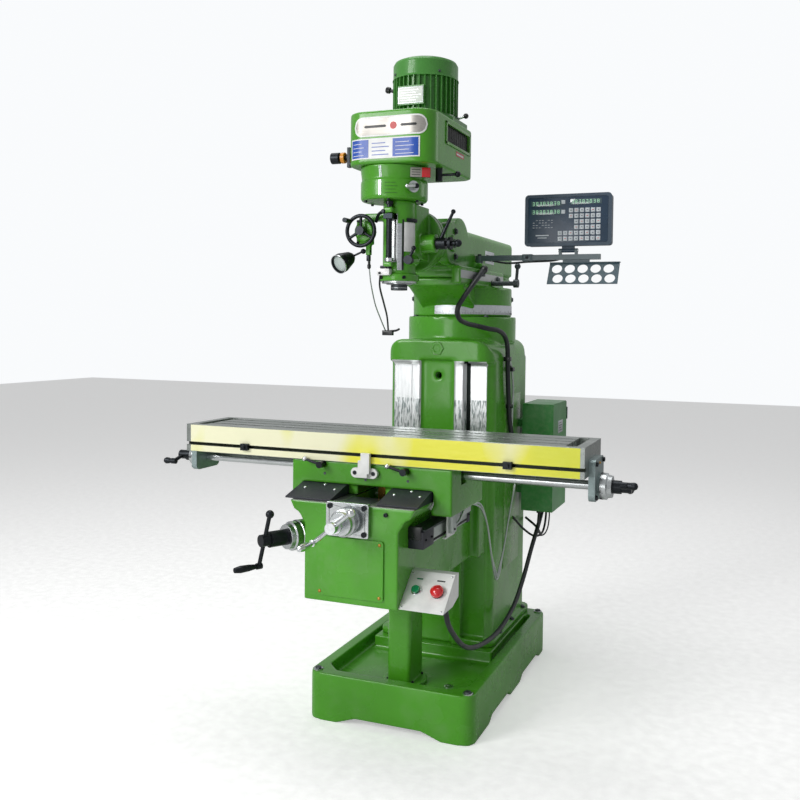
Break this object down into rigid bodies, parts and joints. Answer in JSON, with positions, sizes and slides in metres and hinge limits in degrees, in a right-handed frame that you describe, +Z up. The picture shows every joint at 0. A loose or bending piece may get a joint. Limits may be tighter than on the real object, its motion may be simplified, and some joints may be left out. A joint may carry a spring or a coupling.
{
  "type": "vertical milling machine",
  "caption": "Knee-type vertical turret mill: swivelling ram head with belt drive, T-slotted table, hand-cranked slides, digital readout and push-button station",
  "frame": {"origin": "floor level at the centre of the base's four anchor holes", "axes": "+Z up, -Y towards the operator, +X to the operator's right, along the table's travel"},
  "size_m": [1.6572, 1.6616, 2.307],
  "materials": {
    "green_paint": "glossy green enamel",
    "cabinet_paint": "satin grey-green enamel",
    "white_paint": "gloss white enamel",
    "ground_steel": "ground and scraped",
    "bright_steel": "polished",
    "turned_steel": "turned",
    "black_oxide": "oiled black oxide",
    "grey_iron": "machined cast iron",
    "bronze": "turned bronze",
    "rubber": "matte rubber",
    "belt": "matte belt rubber",
    "red_plastic": "gloss",
    "green_plastic": "gloss",
    "console_plastic": "satin",
    "arm_grey": "satin grey enamel",
    "tray_grey": "satin slate enamel",
    "motor_paint": "darker green enamel"
  },
  "bodies": {
    "stand": {"base": "green_paint", "column": "green_paint", "pedestal": "green_paint", "elevating_nut": "bronze", "cabinet": "cabinet_paint"},
    "cabinet_door": {"cabinet_door": "cabinet_paint"},
    "knee": {"knee": "green_paint", "knee_cover": "green_paint", "knee_gib": "ground_steel", "cross_bracket": "turned_steel", "button_box": "white_paint"},
    "elevating_screw": {"elevating_screw": "turned_steel"},
    "knee_crank": {"knee_crank_shaft": "turned_steel", "knee_dial": "turned_steel", "knee_crank": "black_oxide"},
    "start_button": {"start_button": "green_plastic"},
    "stop_button": {"stop_button": "red_plastic"},
    "saddle": {"saddle": "green_paint", "saddle_gibs": "ground_steel", "way_wipers": "rubber", "stop_bracket": "white_paint", "feed_nuts": "bronze"},
    "table_lock_left": {"table_lock_left": "black_oxide"},
    "table_lock_right": {"table_lock_right": "black_oxide"},
    "cross_screw": {"cross_screw": "turned_steel", "cross_dial": "turned_steel", "cross_crank": "bright_steel"},
    "table": {"table": "ground_steel", "table_brackets": "grey_iron"},
    "dog_left": {"dog_left": "black_oxide"},
    "dog_right": {"dog_right": "black_oxide"},
    "table_screw": {"table_screw": "turned_steel", "table_dials": "turned_steel", "table_cranks": "black_oxide"},
    "turret": {"turret": "green_paint"},
    "ram_pinion": {"ram_pinion": "black_oxide"},
    "ram": {"ram": "green_paint"},
    "ram_adapter": {"ram_adapter": "green_paint"},
    "head": {"head": "green_paint", "gear_housing": "green_paint", "belt_housing": "green_paint", "drive_belt": "belt", "depth_rod": "black_oxide"},
    "depth_nut": {"depth_nut": "bright_steel"},
    "motor": {"motor": "motor_paint"},
    "motor_rotor": {"motor_pulley": "grey_iron"},
    "spindle_pulley": {"spindle_pulley": "grey_iron"},
    "quill": {"quill": "bright_steel"},
    "spindle": {"spindle": "bright_steel", "drawbar": "black_oxide"},
    "quill_handle": {"quill_handle": "black_oxide"},
    "feed_wheel": {"feed_wheel": "black_oxide"},
    "quill_lock": {"quill_lock": "black_oxide"},
    "brake_lever": {"brake_lever": "black_oxide"},
    "speed_lever": {"speed_lever": "black_oxide"},
    "feed_selector": {"feed_selector": "bright_steel"},
    "work_lamp": {"work_lamp": "black_oxide"},
    "dro_arm": {"dro_arm": "arm_grey", "tool_tray": "tray_grey"},
    "dro_console": {"dro_console": "console_plastic"}
  },
  "joints": [
    {"name": "knee_lift", "type": "slide", "parent": "stand", "child": "knee", "axis": [0, 0, 1], "range_m": [-0.03, 0.35]},
    {"name": "elevating_screw_turn", "type": "hinge", "parent": "knee", "child": "elevating_screw", "pos_m": [0, -0.337, 0.6], "axis": [0, 0, 1], "range_deg": [-2161, 25201]},
    {"name": "knee_crank_turn", "type": "hinge", "parent": "knee", "child": "knee_crank", "pos_m": [0, -0.337, 0.7], "axis": [-0.4695, -0.8829, 0], "range_deg": [-4321, 50401]},
    {"name": "start_button_press", "type": "slide", "parent": "knee", "child": "start_button", "axis": [0, 0.6485, -0.7612], "range_m": [0, 0.004], "stiffness_N_per_m": 800, "springref_m": -0.002},
    {"name": "stop_button_press", "type": "slide", "parent": "knee", "child": "stop_button", "axis": [0, 0.6485, -0.7612], "range_m": [0, 0.004], "stiffness_N_per_m": 800, "springref_m": -0.002},
    {"name": "saddle_cross", "type": "slide", "parent": "knee", "child": "saddle", "axis": [0, 1, 0], "range_m": [-0.13, 0.27]},
    {"name": "cross_screw_turn", "type": "hinge", "parent": "knee", "child": "cross_screw", "pos_m": [0, -0.79, 0.778], "axis": [0, 1, 0], "range_deg": [-9361, 19442]},
    {"name": "table_traverse", "type": "slide", "parent": "saddle", "child": "table", "axis": [1, 0, 0], "range_m": [-0.4, 0.4]},
    {"name": "table_screw_turn", "type": "hinge", "parent": "table", "child": "table_screw", "pos_m": [0, -0.5375, 0.895], "axis": [1, 0, 0], "range_deg": [-28802, 28802]},
    {"name": "dog_left_slide", "type": "slide", "parent": "table", "child": "dog_left", "axis": [1, 0, 0], "range_m": [-0.15, 0.3]},
    {"name": "dog_right_slide", "type": "slide", "parent": "table", "child": "dog_right", "axis": [1, 0, 0], "range_m": [-0.3, 0.15]},
    {"name": "table_lock_left_turn", "type": "hinge", "parent": "saddle", "child": "table_lock_left", "pos_m": [-0.1635, -0.655, 0.9195], "axis": [0, 1, 0], "range_deg": [-60, 30]},
    {"name": "table_lock_right_turn", "type": "hinge", "parent": "saddle", "child": "table_lock_right", "pos_m": [0.1265, -0.655, 0.9145], "axis": [0, 1, 0], "range_deg": [-60, 30]},
    {"name": "turret_swivel", "type": "hinge", "parent": "stand", "child": "turret", "pos_m": [0, 0.235, 1.405], "axis": [0, 0, 1], "range_deg": [-180, 180]},
    {"name": "ram_slide", "type": "slide", "parent": "turret", "child": "ram", "axis": [0, -1, 0], "range_m": [-0.13, 0.28]},
    {"name": "ram_pinion_turn", "type": "hinge", "parent": "turret", "child": "ram_pinion", "pos_m": [0, 0.15, 1.535], "axis": [1, 0, 0], "range_deg": [-574, 1236]},
    {"name": "head_nod", "type": "hinge", "parent": "ram", "child": "ram_adapter", "pos_m": [0, -0.17, 1.665], "axis": [1, 0, 0], "range_deg": [-45, 45]},
    {"name": "head_tilt", "type": "hinge", "parent": "ram_adapter", "child": "head", "pos_m": [0, -0.29, 1.665], "axis": [0, 1, 0], "range_deg": [-90, 90]},
    {"name": "quill_feed", "type": "slide", "parent": "head", "child": "quill", "axis": [0, 0, -1], "range_m": [0, 0.127]},
    {"name": "quill_handle_turn", "type": "hinge", "parent": "head", "child": "quill_handle", "pos_m": [0, -0.3728, 1.647], "axis": [1, 0, 0], "range_deg": [0, 514]},
    {"name": "spindle_spin", "type": "hinge", "parent": "quill", "child": "spindle", "pos_m": [0, -0.43, 1.6], "axis": [0, 0, 1], "continuous": true},
    {"name": "spindle_pulley_spin", "type": "hinge", "parent": "head", "child": "spindle_pulley", "pos_m": [0, -0.43, 1.98], "axis": [0, 0, 1], "continuous": true},
    {"name": "motor_spin", "type": "hinge", "parent": "motor", "child": "motor_rotor", "pos_m": [0, -0.205, 2], "axis": [0, 0, 1], "continuous": true},
    {"name": "belt_tension", "type": "slide", "parent": "head", "child": "motor", "axis": [0, -1, 0], "range_m": [0, 0.02]},
    {"name": "depth_nut_set", "type": "slide", "parent": "head", "child": "depth_nut", "axis": [0, 0, -1], "range_m": [-0.11, 0]},
    {"name": "feed_wheel_turn", "type": "hinge", "parent": "head", "child": "feed_wheel", "pos_m": [-0.109, -0.5, 1.683], "axis": [0, 1, 0], "continuous": true},
    {"name": "quill_lock_turn", "type": "hinge", "parent": "head", "child": "quill_lock", "pos_m": [0.058, -0.47, 1.585], "axis": [0, 1, 0], "range_deg": [-60, 30]},
    {"name": "brake_lever_turn", "type": "hinge", "parent": "head", "child": "brake_lever", "pos_m": [0.128, -0.4, 1.895], "axis": [0, 0, 1], "range_deg": [-30, 30]},
    {"name": "speed_lever_turn", "type": "hinge", "parent": "head", "child": "speed_lever", "pos_m": [-0.15, -0.45, 1.917], "axis": [1, 0, 0], "range_deg": [-90, 90]},
    {"name": "feed_selector_turn", "type": "hinge", "parent": "head", "child": "feed_selector", "pos_m": [-0.02, -0.432, 1.82], "axis": [0.7771, -0.6293, 0], "range_deg": [-90, 90]},
    {"name": "lamp_swing", "type": "hinge", "parent": "head", "child": "work_lamp", "pos_m": [-0.118, -0.465, 1.618], "axis": [1, 0, 0], "range_deg": [-15, 40]},
    {"name": "dro_arm_swing", "type": "hinge", "parent": "ram", "child": "dro_arm", "pos_m": [0.113, 0.1, 1.61], "axis": [0, 0, 1], "range_deg": [0, 55]},
    {"name": "dro_console_tilt", "type": "hinge", "parent": "dro_arm", "child": "dro_console", "pos_m": [0.46, 0.1, 1.655], "axis": [1, 0, 0], "range_deg": [-12, 12]},
    {"name": "cabinet_door_open", "type": "hinge", "parent": "stand", "child": "cabinet_door", "pos_m": [0.3655, 0.54, 0.84], "axis": [0, 0, 1], "range_deg": [0, 110]}
  ],
  "couplings": [
    {"joint": "elevating_screw_turn", "follows": "knee_lift", "rad_per_m": 1256.6},
    {"joint": "knee_crank_turn", "follows": "knee_lift", "rad_per_m": 2513.3},
    {"joint": "cross_screw_turn", "follows": "saddle_cross", "rad_per_m": 1256.6},
    {"joint": "table_screw_turn", "follows": "table_traverse", "rad_per_m": 1256.6},
    {"joint": "ram_pinion_turn", "follows": "ram_slide", "rad_per_m": 76.923},
    {"joint": "quill_handle_turn", "follows": "quill_feed", "rad_per_m": 70.423},
    {"joint": "spindle_pulley_spin", "follows": "spindle_spin", "ratio": 1},
    {"joint": "motor_spin", "follows": "spindle_spin", "ratio": 1.2667}
  ]
}
